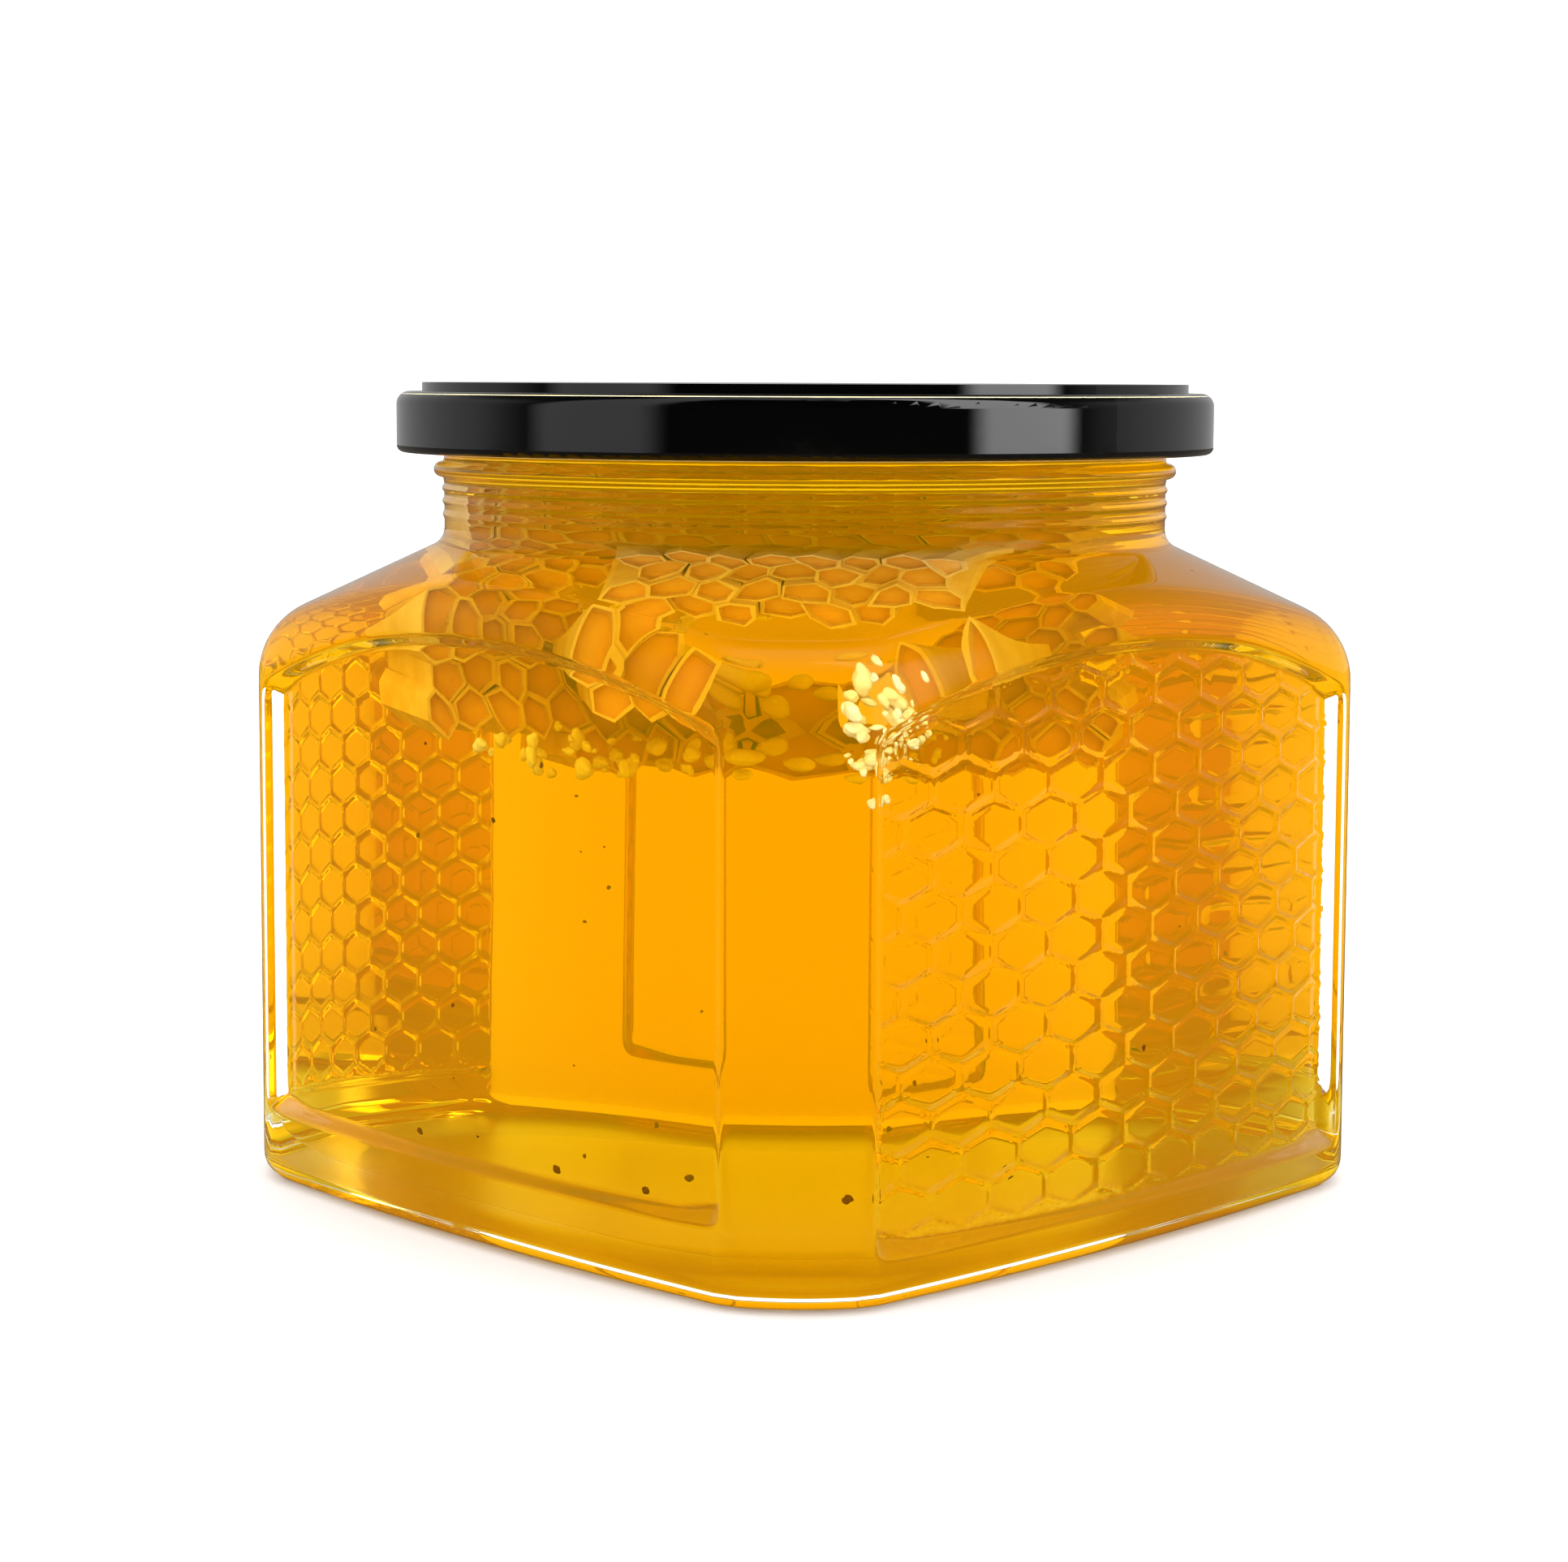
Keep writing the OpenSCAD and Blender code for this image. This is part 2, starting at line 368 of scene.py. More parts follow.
# distances along the outline where all rows of the body have their points
QUARTER = outer.length / 4
FACE_STEPS, COLUMN_STEPS = 30, 12
face_s = np.linspace(-FACE_HALF, FACE_HALF, FACE_STEPS + 1)
column_s = np.linspace(FACE_HALF, QUARTER - FACE_HALF, COLUMN_STEPS + 1)
ring_s = np.concatenate([np.concatenate([face_s[:-1], column_s[:-1]]) + q * QUARTER for q in range(4)])
wall_t = np.linspace(0, 1, 41)


def side_patch(build, quarter, low, comb):
    """One side between its columns, with its panel, as a fine triangulated sheet."""
    s0 = quarter * QUARTER

    def top_at(u):
        return wall_top(np.linalg.norm(outer.at(s0 + u), axis=1))

    tops = top_at(face_s)
    border = [(u, HEEL_R) for u in face_s[:-1]]
    border += [(FACE_HALF, HEEL_R + t * (tops[-1] - HEEL_R)) for t in wall_t[:-1]]
    border += [(u, z) for u, z in zip(face_s[::-1][:-1], tops[::-1][:-1])]
    border += [(-FACE_HALF, HEEL_R + t * (tops[0] - HEEL_R)) for t in wall_t[::-1][:-1]]
    border = np.array(border)

    def panel_top(u):
        return top_at(u) - 0.4

    rim = panel_rim(low, PANEL_HALF, panel_top, 0.0)
    inner = []
    for inset in (-0.35, 0.0, 0.25, 0.5, 0.8, 1.1, STEP_W, 1.7, 2.1, 2.5, 2.9, 3.3):
        inner.append(panel_rim(low, PANEL_HALF, panel_top, inset)[::5])
    if comb:
        centre_pts = []
        rows = int(80 / ROW_H)
        for j in range(-2, rows):
            for i in range(-7, 8):
                cx = COMB_SHIFT + (i + (j % 2) / 2) * CELL_W
                cz = COMB_ROW0 + j * ROW_H
                for inset in (0.0, 0.15, 0.3, 0.45, 0.64, 1.2):
                    centre_pts.append(hex_ring(inset) + (cx, cz))
                centre_pts.append(np.array([[cx, cz]]))
        cells = np.concatenate(centre_pts)
        keep = rim_distance_fast(cells, rim)
        cells = cells[keep > STEP_W + 0.15]
    else:
        gu, gz = np.meshgrid(np.linspace(-FACE_HALF, FACE_HALF, 31), np.linspace(HEEL_R, 76, 27))
        cells = np.column_stack([gu.ravel(), gz.ravel()])
        keep = rim_distance_fast(cells, rim)
        cells = cells[keep > 3.6]
    pts = np.concatenate(inner + [cells])
    pts = np.unique(np.round(pts, 3), axis=0)
    # keep only what lies clear inside the border
    far = rim_distance(pts, border)
    pts = pts[far > 0.25]
    coords = [Vector(p) for p in border] + [Vector(p) for p in pts]
    v, _, f, _, _, _ = geometry.delaunay_2d_cdt(coords, [], [list(range(len(border)))], 1, 1e-5)
    flat = np.array([tuple(p) for p in v])
    dist = rim_distance_fast(flat, rim)
    h = panel_height(np.column_stack([flat, dist]), PANEL_DEPTH, comb)
    on_border = rim_distance(flat, border) < 0.05
    h[on_border] = 0
    xy = outer.at(s0 + flat[:, 0]) + outer.normal(s0 + flat[:, 0]) * h[:, None]
    ids = [build.vertex((xy[i, 0], xy[i, 1], flat[i, 1])) for i in range(len(flat))]
    for tri in f:
        a, b, c = (flat[i] for i in tri)
        area = (b[0] - a[0]) * (c[1] - a[1]) - (b[1] - a[1]) * (c[0] - a[0])
        three = [ids[i] for i in (tri if area > 0 else tri[::-1])]
        if len(set(three)) == 3:
            build.faces.append(three)


def rim_distance_fast(p, rim):
    """rim_distance with a thinner outline."""
    return rim_distance(p, rim[::4])


def column_patch(build, quarter):
    s = quarter * QUARTER + column_s
    xy = outer.at(s)
    tops = wall_top(np.linalg.norm(xy, axis=1))
    rows = []
    for t in wall_t:
        rows.append([(x, y, HEEL_R + t * (top - HEEL_R)) for (x, y), top in zip(xy, tops)])
    build.grid(rows, closed=False)


def body_rows():
    """Rows of the body below and above its sides, from under the base to the rim."""
    xy = outer.at(ring_s)
    rho = np.linalg.norm(xy, axis=1)
    way = xy / rho[:, None]

    def row(r, z):
        r = np.broadcast_to(r, rho.shape)
        z = np.broadcast_to(z, rho.shape)
        return [(w[0] * a, w[1] * a, b) for w, a, b in zip(way, r, z)]

    low = []
    for r, z in ((12, 1.8), (25, 1.8), (37, 1.75), (40, 1.6), (42.5, 1.15), (44.5, 0.45), (45.6, 0.1), (46.4, 0.0)):
        low.append(row(r, z))
    inner = rho - HEEL_R - 0.8
    low.append(row(inner * 0.5 + 46.4 * 0.5, 0.0))
    low.append(row(inner, 0.0))
    for k in range(0, 10):
        a = math.radians(10 * k)
        low.append(row(rho - HEEL_R * (1 - math.sin(a)), HEEL_R * (1 - math.cos(a))))
    low[-1] = row(rho, HEEL_R)
    high = [row(rho, wall_top(rho))]
    r = brow_radius(rho)
    mid_r, mid_z = rho - r, wall_top(rho)
    sweep = math.pi / 2 - SLOPE
    for k in range(1, 11):
        a = sweep * k / 10
        high.append(row(mid_r + r * math.cos(a), mid_z + r * math.sin(a)))
    end_r = mid_r + r * math.cos(sweep)
    fillet_r, fillet_z = NECK_R + NECK_FILLET, slope_z(NECK_R + NECK_FILLET) + NECK_FILLET / math.cos(SLOPE)
    foot_r = fillet_r - NECK_FILLET * math.sin(SLOPE)
    for t in (0.15, 0.3, 0.45, 0.6, 0.75, 0.9, 1.0):
        rr = end_r + (foot_r - end_r) * t
        high.append(row(rr, slope_z(rr)))
    for k in range(1, 7):
        a = SLOPE + (math.pi / 2 - SLOPE) * k / 6
        high.append(row(fillet_r - NECK_FILLET * math.sin(a), fillet_z - NECK_FILLET * math.cos(a)))
    for rr, z in neck_line(fillet_z):
        high.append(row(rr, z))
    return low, high


def neck_line(start_z):
    """Radius and height up the neck: fine rings, the bead under the lid, and the rim."""
    line = []
    for z0, out in ((84.9, 0.22), (86.6, 0.26), (88.2, 0.3)):
        for k in range(-3, 4):
            line.append((NECK_R + out * math.cos(k / 3 * math.pi / 2) ** 2, z0 + 0.2 * k))
    for k in range(-8, 9):
        a = k / 8 * math.pi / 2
        line.append((NECK_R + 0.15 + 1.15 * math.cos(a) ** 0.8, 90.55 + 0.95 * math.sin(a)))
    line += [(45.6, 92.2), (45.8, 93.2), (47.6, 93.6), (48.2, 94.2), (48.2, 98.6)]
    for k in range(1, 6):
        a = math.radians(18 * k)
        line.append((47.2 + math.cos(a), 98.6 + math.sin(a)))
    line += [(44.0, RIM_TOP), (30.0, RIM_TOP), (12.0, RIM_TOP)]
    return [(r, z) for r, z in line if z > start_z]


def cap(build, ring, z):
    """Closes a ring of points round the axis with a fan."""
    n = len(ring)
    for i in range(n):
        a, b = ring[i], ring[(i + 1) % n]
        if z < RIM_TOP / 2:
            build.face([b, a, (0, 0, z)])
        else:
            build.face([a, b, (0, 0, z)])


def make_glass(material):
    build = Builder()
    low, high = body_rows()
    build.grid(low)
    build.grid(high)
    cap(build, low[0], 1.8)
    cap(build, high[-1], RIM_TOP)
    for quarter, (base, comb) in enumerate(((COMB_LOW, True), (LABEL_LOW, False), (COMB_LOW, True), (LABEL_LOW, False))):
        side_patch(build, quarter, base, comb)
        column_patch(build, quarter)
    return build.to_object("glass", material)


# ---------------------------------------------------------------- honey
def make_honey(material):
    """The contents, out to the inner face of the glass."""
    inner = Outline(inner_curve(SIDE_REACH - SIDE_WALL, INNER_TURN, BOW_R))
    s = np.linspace(0, inner.length, 240, endpoint=False)
    xy = inner.at(s)
    rho = np.linalg.norm(xy, axis=1)
    way = xy / rho[:, None]

    def row(r, z):
        r = np.broadcast_to(r, rho.shape)
        z = np.broadcast_to(z, rho.shape)
        return [(w[0] * a, w[1] * a, b) for w, a, b in zip(way, r, z)]

    rows = [row(f, FLOOR_Z + 0.6 * (1 - (f / 45) ** 2)) for f in (8, 20, 32, 42)]
    for k in range(0, 11):
        a = math.radians(9 * k)
        rows.append(row(rho - FLOOR_R * (1 - math.sin(a)), FLOOR_Z + FLOOR_R * (1 - math.cos(a))))
    # shoulder: the slope set in by the wall, rounded into the sides
    wall = SIDE_WALL + 0.2
    lift = -wall / math.cos(SLOPE)
    r = np.full(rho.shape, 6.5)
    mid_r = rho - r
    mid_z = np.array([slope_z(m, lift) for m in mid_r]) - r / math.cos(SLOPE)
    base_z = FLOOR_Z + FLOOR_R
    for t in np.linspace(0.08, 1, 14):
        rows.append(row(rho, base_z + (mid_z - base_z) * t))
    sweep = math.pi / 2 - SLOPE
    for k in range(1, 11):
        a = sweep * k / 10
        rows.append(row(mid_r + r * math.cos(a), mid_z + r * math.sin(a)))
    end_r = mid_r + r * math.cos(sweep)
    turn = 4.0
    foot_r = BORE_R + turn * (1 - math.sin(SLOPE))
    for t in (0.25, 0.5, 0.75, 1.0):
        rr = end_r + (foot_r - end_r) * t
        rows.append(row(rr, np.array([slope_z(x, lift) for x in rr])))
    centre_z = slope_z(BORE_R + turn, lift) + turn / math.cos(SLOPE)
    for k in range(1, 9):
        a = SLOPE + (math.pi / 2 - SLOPE) * k / 8
        rows.append(row(BORE_R + turn * (1 - math.sin(a)), centre_z - turn * math.cos(a)))
    for z in np.linspace(centre_z + 1, HONEY_TOP, 6):
        rows.append(row(BORE_R, z))
    rows.append(row(30, HONEY_TOP))
    rows.append(row(10, HONEY_TOP))
    build = Builder()
    build.grid(rows)
    cap(build, rows[0], FLOOR_Z + 0.6)
    cap(build, rows[-1], HONEY_TOP)
    return build.to_object("honey_fill", material)


# ---------------------------------------------------------------- comb and crumbs in the honey
def start_mesh(add, **settings):
    """Adds a primitive as the only selected object, in object mode."""
    bpy.ops.object.select_all(action="DESELECT")
    add(**settings)
    return bpy.context.active_object


def select_faces(ob, test):
    bpy.ops.object.mode_set(mode="OBJECT")
    for p in ob.data.polygons:
        p.select = bool(test(p))
    bpy.ops.object.mode_set(mode="EDIT")


def take_shape(ob):
    """Vertices and faces of an object that is then removed."""
    mesh = ob.data
    verts = np.array([tuple(v.co) for v in mesh.vertices])
    faces = [tuple(p.vertices) for p in mesh.polygons]
    bpy.data.objects.remove(ob)
    bpy.data.meshes.remove(mesh)
    return verts, faces


def comb_cell():
    """One double-ended comb cell: a hexagonal tube with a midrib, its mouths hollowed from both ends."""
    ob = start_mesh(bpy.ops.mesh.primitive_cylinder_add, vertices=6, radius=CELL_R, depth=2 * CELL_DEEP)
    bpy.ops.object.mode_set(mode="EDIT")
    bpy.ops.mesh.select_mode(type="FACE")
    for side in (1, -1):
        select_faces(ob, lambda p: p.normal.z * side > 0.9)
        bpy.ops.mesh.inset(thickness=CELL_WALL)
        bpy.ops.mesh.extrude_region_move(TRANSFORM_OT_translate={"value": (0, 0, -side * CELL_MOUTH)})
    bpy.ops.object.mode_set(mode="OBJECT")
    return take_shape(ob)


CELL_R, CELL_DEEP, CELL_WALL, CELL_MOUTH = 2.8, 11.0, 0.4, 1.7


def make_comb(name, material, half_w, low_z, high_z, turn, spot, seed):
    """A cut piece of comb standing in the honey; turn is where its front looks, from -Y towards +X."""
    rnd = random.Random(seed)
    verts, faces = comb_cell()
    step = CELL_R * math.sqrt(3)
    allv, allf = [], []
    c, q = math.cos(math.radians(turn)), math.sin(math.radians(turn))
    across = np.array([c, q, 0])
    out = np.array([q, -c, 0])
    rows = int((high_z - low_z) / (1.5 * CELL_R)) + 2
    for j in range(rows):
        for i in range(-10, 11):
            x = (i + (j % 2) / 2) * step
            z = low_z + j * 1.5 * CELL_R
            edge = half_w - 2.5 * math.sin(z * 0.7) - rnd.uniform(0, 4)
            if abs(x) > edge or z > high_z - 3:
                continue
            if j == 0 and rnd.random() < 0.25:
                continue
            deep = rnd.uniform(0.82, 1.04)
            lean = rnd.uniform(-0.02, 0.02)
            v = verts.copy()
            mouth = v[:, 2] / CELL_DEEP
            px = x + v[:, 0] * (1 + 0.02 * rnd.uniform(-1, 1)) + lean * v[:, 2]
            pz = z + v[:, 1] + 0.10 * np.abs(v[:, 2])
            px = px + 0.9 * np.sin(pz * 0.35) + 0.45 * np.sin(px * 0.9 + pz * 0.6)
            pz = pz + 0.6 * np.sin(px * 0.5 + 1.3 * mouth) + 0.3 * np.sin(px * 1.3)
            pn = v[:, 2] * deep + 2.2 * np.cos(px * 0.045) + 0.7 * np.sin(pz * 0.16)
            w = px[:, None] * across + pn[:, None] * out
            w[:, 0] += spot[0]
            w[:, 1] += spot[1]
            w[:, 2] = pz
            reach = np.hypot(w[:, 0], w[:, 1])
            room = np.where(pz > 74, BORE_R - 0.6, reach)
            w[:, :2] *= np.minimum(1, room / reach)[:, None]
            base = sum(len(a) for a in allv)
            allv.append(w)
            allf += [tuple(k + base for k in f) for f in faces]
    ob = mesh_object(name, np.concatenate(allv) * MM, allf, material[0])
    ob.data.shade_flat()
    ob.data.materials.append(material[1])
    floors = [abs(np.mean(verts[list(f), 2])) < CELL_DEEP - 0.6 * CELL_MOUTH
              and np.ptp(verts[list(f), 2]) < 0.01 for f in faces]
    for i, p in enumerate(ob.data.polygons):
        p.material_index = 0 if floors[i % len(floors)] else 1
    return ob


def make_blobs(name, spots, material, seed, rough=0.35):
    """A loose heap of uneven lumps; spots give place and radius in mm."""
    rnd = random.Random(seed)
    ball = start_mesh(bpy.ops.mesh.primitive_ico_sphere_add, subdivisions=3, radius=1)
    verts, faces = take_shape(ball)
    allv, allf = [], []
    for place, radius in spots:
        phase = np.array([rnd.uniform(0, 6.28) for _ in range(6)])
        wave = np.sin(verts @ np.array([2.1, 1.3, 2.7]) + phase[0]) + np.sin(verts @ np.array([-3.2, 2.6, 1.1]) + phase[1])
        wave += 0.6 * np.sin(verts @ np.array([5.3, -4.1, 4.7]) + phase[2])
        shape = verts * (1 + rough * 0.4 * wave)[:, None]
        shape = shape * [rnd.uniform(0.6, 1.3) for _ in range(3)]
        base = len(allv) * len(verts)
        allv.append(shape * radius + place)
        allf += [tuple(k + base for k in f) for f in faces]
    return mesh_object(name, np.concatenate(allv) * MM, allf, material)


def beside_camera(right, near, z):
    """A place given from the axis: to the camera's right, towards it, and up."""
    c, q = math.cos(CAM_AZ), math.sin(CAM_AZ)
    return (right * c + near * q, right * q - near * c, z)


def make_crumbs(material):
    """Broken cappings: a heap against the glass beside the front column, more along the comb's lower edge."""
    rnd = random.Random(11)
    centre = SIDE_REACH - SIDE_WALL - INNER_TURN
    spots = []
    for _ in range(70):
        way = math.radians(rnd.gauss(-27, 4.0))
        reach = INNER_TURN - rnd.uniform(3.0, 7.0)
        z = rnd.gauss(63.0, 3.0)
        spots.append(((centre + reach * math.cos(way), -centre + reach * math.sin(way), z), rnd.uniform(0.2, 0.8)))
    for _ in range(50):
        spots.append((beside_camera(rnd.uniform(-34, 8), rnd.uniform(14, 26), rnd.gauss(57.5, 1.4)),
                      rnd.uniform(0.3, 1.1)))
    return make_blobs("crumbs", spots, material, 3)


def make_specks(material):
    rnd = random.Random(5)
    spots = []
    for right, near, z in ((-14, 44, 9), (-24, 33, 9), (4, 50, 10), (-5, 30, 8.6), (18, 30, 8.5), (-40, 12, 9)):
        spots.append((beside_camera(right, near, z), rnd.uniform(0.25, 0.5)))
    for _ in range(26):
        spots.append((beside_camera(rnd.uniform(-40, 40), rnd.uniform(-20, 40), rnd.uniform(8, 60)),
                      rnd.uniform(0.12, 0.3)))
    return make_blobs("specks", spots, material, 4)


# ---------------------------------------------------------------- materials
def glass_material():
    """Clear flint glass: bright mirror-like edges, a trace of green in its thick parts."""
    mat = new_material("flint_glass")
    place = node(mat, "ShaderNodeTexCoord")
    wave = node(mat, "ShaderNodeTexNoise", links={"Vector": place.outputs["Object"]}, Scale=55.0, Detail=1.0)
    bump = node(mat, "ShaderNodeBump", links={"Height": wave.outputs["Fac"]}, Strength=0.06, Distance=0.001)
    radius, height = radius_and_height(mat)
    stipple = maths(mat, "MAXIMUM", inside_of(mat, radius, height, 46.6, 1.95),
                    maths(mat, "LESS_THAN", height, 0.03 * MM))
    frost = maths(mat, "MULTIPLY", stipple, 0.35)
    bsdf = node(mat, "ShaderNodeBsdfPrincipled", links={"Normal": bump.outputs["Normal"], "Roughness": frost},
                Base_Color=(1, 1, 1, 1), IOR=1.52, Transmission_Weight=1.0,
                Specular_Tint=(0.12, 0.1, 0.06, 1))
    soak = node(mat, "ShaderNodeVolumeAbsorption", Color=srgb("#E4F0E0"), Density=4.0)
    node(mat, "ShaderNodeOutputMaterial", links={"Surface": bsdf.outputs[0], "Volume": soak.outputs[0]})
    return mat


def honey_material():
    """Clear liquid honey: bright amber where thin, deep orange-brown where thick, with a painted glow: an emission
    in its volume stands in for light scattered inside it.
    """
    mat = new_material("honey")
    bsdf = node(mat, "ShaderNodeBsdfGlass", Color=(1, 1, 1, 1), Roughness=0.0, IOR=0.998)
    soak = node(mat, "ShaderNodeVolumeAbsorption", Color=(0.935, 0.808, 0.0, 1), Density=80.0)
    # painted glow: this emission makes the honey shine on its own, standing in for light scattered inside it
    painted_glow = node(mat, "ShaderNodeEmission", Color=(1.0, 0.91, 0.0, 1), Strength=3.6)
    body = node(mat, "ShaderNodeAddShader", links={0: soak.outputs[0], 1: painted_glow.outputs[0]})
    node(mat, "ShaderNodeOutputMaterial", links={"Surface": bsdf.outputs[0], "Volume": body.outputs[0]})
    return mat


def lid_material():
    """Black gloss lacquer outside with sharp soft-box reflections, pale enamel inside."""
    mat = new_material("black_lacquered_tinplate")
    place = node(mat, "ShaderNodeTexCoord").outputs["Object"]
    peel = node(mat, "ShaderNodeTexNoise", links={"Vector": place}, Scale=420.0, Detail=2.0)
    bump = node(mat, "ShaderNodeBump", links={"Height": peel.outputs["Fac"]}, Strength=0.02, Distance=0.0002)
    radius, height = radius_and_height(mat)
    skirt = inside_of(mat, radius, height, 50.9, 100.0)
    middle = inside_of(mat, radius, height, 48.1, 101.0)
    inner = maths(mat, "MAXIMUM", skirt, middle)
    coat = node(mat, "ShaderNodeMix", {"data_type": "RGBA"}, {"Factor": inner})
    coat.inputs["A"].default_value = srgb("#020202")
    coat.inputs["B"].default_value = srgb("#E9D9A8")
    bsdf = node(mat, "ShaderNodeBsdfPrincipled",
                links={"Normal": bump.outputs["Normal"], "Base Color": coat.outputs["Result"]},
                Roughness=0.05, IOR=1.5)
    node(mat, "ShaderNodeOutputMaterial", links={"Surface": bsdf.outputs[0]})
    return mat


def radius_and_height(mat):
    """Distance from the axis and height, in metres."""
    place = node(mat, "ShaderNodeTexCoord").outputs["Object"]
    flat = node(mat, "ShaderNodeVectorMath", {"operation": "MULTIPLY"}, {0: place})
    flat.inputs[1].default_value = (1, 1, 0)
    radius = node(mat, "ShaderNodeVectorMath", {"operation": "LENGTH"}, {0: flat.outputs[0]}).outputs["Value"]
    return radius, part_of(mat, place, (0, 0, 1))


def inside_of(mat, radius, height, r, z):
    """One where a point is nearer to the axis than r and lower than z, both in mm."""
    near = maths(mat, "LESS_THAN", radius, r * MM)
    low = maths(mat, "LESS_THAN", height, z * MM)
    return maths(mat, "MULTIPLY", near, low)


def wax_material():
    """Beeswax of the cell floors: a warm orange, deeper than the wax of the walls and rims."""
    mat = new_material("beeswax_comb")
    place = node(mat, "ShaderNodeTexCoord").outputs["Object"]
    tone = node(mat, "ShaderNodeTexNoise", links={"Vector": place}, Scale=140.0, Detail=3.0)
    mix = node(mat, "ShaderNodeMix", {"data_type": "RGBA"}, {"Factor": tone.outputs["Fac"]})
    mix.inputs["A"].default_value = srgb("#E0983A")
    mix.inputs["B"].default_value = srgb("#F7C878")
    bsdf = node(mat, "ShaderNodeBsdfPrincipled", links={"Base Color": mix.outputs["Result"]},
                Roughness=0.55, IOR=1.05)
    node(mat, "ShaderNodeOutputMaterial", links={"Surface": bsdf.outputs[0]})
    return mat


def wall_wax_material():
    """Thin wax of the cell walls: paler than the floors, so that the rims stand out."""
    mat = new_material("comb_rim_wax")
    place = node(mat, "ShaderNodeTexCoord").outputs["Object"]
    tone = node(mat, "ShaderNodeTexNoise", links={"Vector": place}, Scale=200.0, Detail=3.0)
    mix = node(mat, "ShaderNodeMix", {"data_type": "RGBA"}, {"Factor": tone.outputs["Fac"]})
    mix.inputs["A"].default_value = srgb("#D9A452")
    mix.inputs["B"].default_value = srgb("#F6D898")
    bsdf = node(mat, "ShaderNodeBsdfPrincipled", links={"Base Color": mix.outputs["Result"]},
                Roughness=0.55, IOR=1.05)
    node(mat, "ShaderNodeOutputMaterial", links={"Surface": bsdf.outputs[0]})
    return mat


def crumb_material():
    """Broken cappings: whitish crumbly wax."""
    mat = new_material("whitish_wax")
    place = node(mat, "ShaderNodeTexCoord").outputs["Object"]
    tone = node(mat, "ShaderNodeTexNoise", links={"Vector": place}, Scale=500.0, Detail=3.0)
    mix = node(mat, "ShaderNodeMix", {"data_type": "RGBA"}, {"Factor": tone.outputs["Fac"]})
    mix.inputs["A"].default_value = srgb("#E8CF8A")
    mix.inputs["B"].default_value = srgb("#FFF6DC")
    bsdf = node(mat, "ShaderNodeBsdfPrincipled", links={"Base Color": mix.outputs["Result"]},
                Roughness=0.6, IOR=1.05)
    node(mat, "ShaderNodeOutputMaterial", links={"Surface": bsdf.outputs[0]})
    return mat


def speck_material():
    """Dark flecks of propolis and old wax sunk to the bottom."""
    mat = new_material("propolis_fleck")
    place = node(mat, "ShaderNodeTexCoord").outputs["Object"]
    tone = node(mat, "ShaderNodeTexNoise", links={"Vector": place}, Scale=300.0, Detail=2.0)
    mix = node(mat, "ShaderNodeMix", {"data_type": "RGBA"}, {"Factor": tone.outputs["Fac"]})
    mix.inputs["A"].default_value = srgb("#3A1A06")
    mix.inputs["B"].default_value = srgb("#8A4A12")
    bsdf = node(mat, "ShaderNodeBsdfPrincipled", links={"Base Color": mix.outputs["Result"]},
                Roughness=0.7, IOR=1.05)
    node(mat, "ShaderNodeOutputMaterial", links={"Surface": bsdf.outputs[0]})
    return mat


# ---------------------------------------------------------------- stage
def make_stage():
    bpy.ops.mesh.primitive_plane_add(size=6.0, location=(0, 0, -0.05 * MM))
    floor = bpy.context.active_object
    floor.name = "floor"
    mat = new_material("white_sweep")
    # painted shade: seen in mirror reflections the floor is painted nearly black (the second colour below), so the
    # glass and lid reflect no bright floor
    path = node(mat, "ShaderNodeLightPath")
    mirrored = maths(mat, "SUBTRACT", path.outputs["Is Glossy Ray"], path.outputs["Is Transmission Ray"])
    tone = node(mat, "ShaderNodeMix", {"data_type": "RGBA"}, {"Factor": mirrored})
    tone.inputs["A"].default_value = (0.5, 0.5, 0.503, 1)
    tone.inputs["B"].default_value = (0.04, 0.03, 0.02, 1)
    bsdf = node(mat, "ShaderNodeBsdfPrincipled", links={"Base Color": tone.outputs["Result"]}, Roughness=0.9)
    node(mat, "ShaderNodeOutputMaterial", links={"Surface": bsdf.outputs[0]})
    floor.data.materials.append(mat)


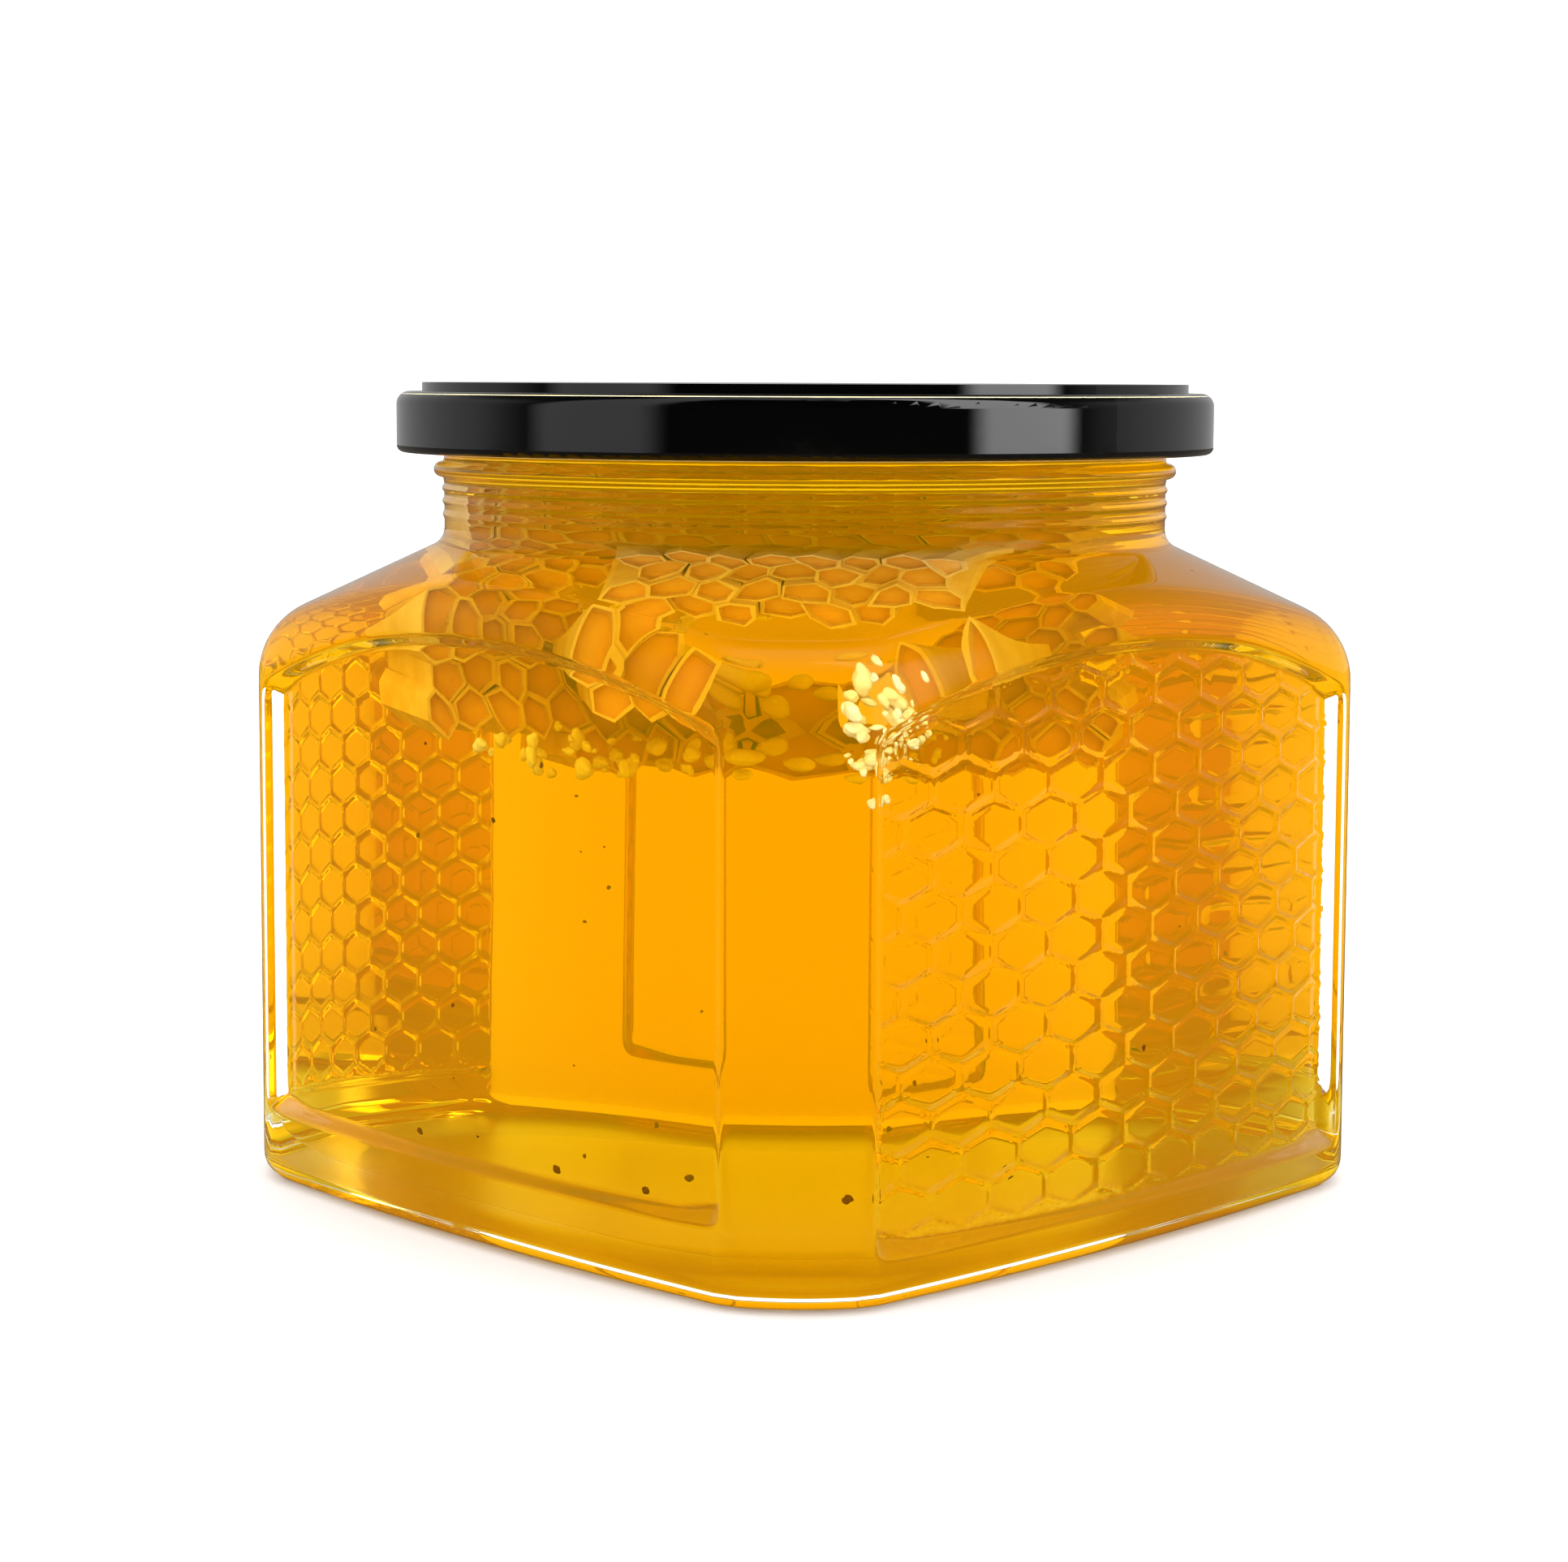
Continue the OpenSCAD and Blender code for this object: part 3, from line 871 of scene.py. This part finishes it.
def make_world():
    """White sweep behind and above, dark room on the camera's side with two soft boxes in it."""
    world = bpy.data.worlds.new("studio")
    bpy.context.scene.world = world
    world.use_nodes = True
    world.node_tree.nodes.clear()
    place = node(world, "ShaderNodeTexCoord").outputs["Generated"]
    away = part_of(world, place, (-math.sin(CAM_AZ), math.cos(CAM_AZ), 0.0))
    right = part_of(world, place, (math.cos(CAM_AZ), math.sin(CAM_AZ), 0.0))
    up = part_of(world, place, (0.0, 0.0, 1.0))
    path = node(world, "ShaderNodeLightPath")
    through = path.outputs["Is Transmission Ray"]
    sweep = ramp(world, away, -0.25, 0.25, ROOM_DARK, SWEEP_LIGHT)
    sweep = maths(world, "MULTIPLY", sweep, ramp(world, up, 0.4, 0.7, 1.0, 0.1))
    mirrored = maths(world, "SUBTRACT", path.outputs["Is Glossy Ray"], through)
    sweep = maths(world, "MULTIPLY", sweep, ramp(world, mirrored, 0.0, 1.0, 1.0, 0.3))
    sweep = maths(world, "MAXIMUM", sweep, maths(world, "MULTIPLY", through, ROOM_THROUGH))
    top = ramp(world, up, 0.9, 0.97, 0.0, 0.9)
    total = maths(world, "MAXIMUM", sweep, top)
    toward = maths(world, "MULTIPLY", away, -1.0)
    angle = maths(world, "ARCTAN2", right, toward)
    for middle, half, light in SOFT_BOXES:
        off = maths(world, "ABSOLUTE", maths(world, "SUBTRACT", angle, math.radians(middle)))
        glow = ramp(world, off, math.radians(half), math.radians(half * 0.55), 0.0, light)
        total = maths(world, "MAXIMUM", total, glow)
    matt = maths(world, "GREATER_THAN", path.outputs["Diffuse Depth"], 0.5)
    level = node(world, "ShaderNodeMix", {"data_type": "FLOAT"}, {"Factor": matt, "A": total})
    level.inputs["B"].default_value = EVEN_LIGHT
    light = node(world, "ShaderNodeBackground", links={"Strength": level.outputs["Result"]}, Color=(1, 1, 1, 1))
    node(world, "ShaderNodeOutputWorld", links={"Surface": light.outputs[0]})


ROOM_DARK, ROOM_THROUGH, SWEEP_LIGHT, EVEN_LIGHT = 0.05, 0.75, 1.6, 3.4
# middle and half width in degrees from the camera's side, brightness
SOFT_BOXES = ((-60.0, 24.0, 0.9), (63.0, 19.0, 4.4))


def part_of(tree, vector, axis):
    dot = node(tree, "ShaderNodeVectorMath", {"operation": "DOT_PRODUCT"}, {0: vector})
    dot.inputs[1].default_value = axis
    return dot.outputs["Value"]


def ramp(tree, value, start, end, low, high):
    n = node(tree, "ShaderNodeMapRange", {"interpolation_type": "SMOOTHSTEP"}, {"Value": value})
    for name, number in (("From Min", start), ("From Max", end), ("To Min", low), ("To Max", high)):
        n.inputs[name].default_value = number
    return n.outputs["Result"]


def maths(tree, kind, a, b=None):
    n = node(tree, "ShaderNodeMath", {"operation": kind})
    for i, value in enumerate((a, b)):
        if isinstance(value, (int, float)):
            n.inputs[i].default_value = value
        elif value is not None:
            tree.node_tree.links.new(value, n.inputs[i])
    return n.outputs[0]


def make_camera():
    cam = bpy.data.cameras.new("camera")
    cam.lens, cam.sensor_width, cam.shift_y = CAM_LENS, 36.0, CAM_SHIFT_Y
    cam.clip_start, cam.clip_end = 0.01, 50
    ob = bpy.data.objects.new("camera", cam)
    bpy.context.scene.collection.objects.link(ob)
    ahead = Vector((-math.sin(CAM_AZ), math.cos(CAM_AZ), 0))
    right = Vector((math.cos(CAM_AZ), math.sin(CAM_AZ), 0))
    up = Vector((0, 0, 1))
    ahead, right = (math.cos(CAM_YAW) * ahead + math.sin(CAM_YAW) * right,
                    math.cos(CAM_YAW) * right - math.sin(CAM_YAW) * ahead)
    ahead, up = (math.cos(CAM_PITCH) * ahead - math.sin(CAM_PITCH) * up,
                 math.cos(CAM_PITCH) * up + math.sin(CAM_PITCH) * ahead)
    right, up = (math.cos(CAM_ROLL) * right + math.sin(CAM_ROLL) * up,
                 math.cos(CAM_ROLL) * up - math.sin(CAM_ROLL) * right)
    spot = Vector((math.sin(CAM_AZ) * CAM_DIST, -math.cos(CAM_AZ) * CAM_DIST, CAM_Z)) * MM
    ob.matrix_world = Matrix((
        (right.x, up.x, -ahead.x, spot.x),
        (right.y, up.y, -ahead.y, spot.y),
        (right.z, up.z, -ahead.z, spot.z),
        (0, 0, 0, 1),
    ))
    bpy.context.scene.camera = ob


glass = make_glass(glass_material())
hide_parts("jar")
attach(glass, "root")
honey = make_honey(honey_material())
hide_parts("honey")
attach(honey, "root")
waxes = (wax_material(), wall_wax_material())
for comb in (make_comb("comb", waxes, 33.0, 56.5, 89.0, 52.0, (-4.0, -6.0), 7),
             make_comb("comb_end", waxes, 21.0, 64.0, 83.0, 38.0, (18.0, -18.0), 8)):
    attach(comb, "root")
crumbs = make_crumbs(crumb_material())
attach(crumbs, "root")
specks = make_specks(speck_material())
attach(specks, "root")
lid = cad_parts["lid"]
lid.data.materials.clear()
lid.data.materials.append(lid_material())
make_stage()
make_world()
make_camera()

scene = bpy.context.scene
scene.view_settings.view_transform = "Standard"
scene.cycles.max_bounces = 24
scene.cycles.transmission_bounces = 24
scene.cycles.glossy_bounces = 8
scene.cycles.diffuse_bounces = 4
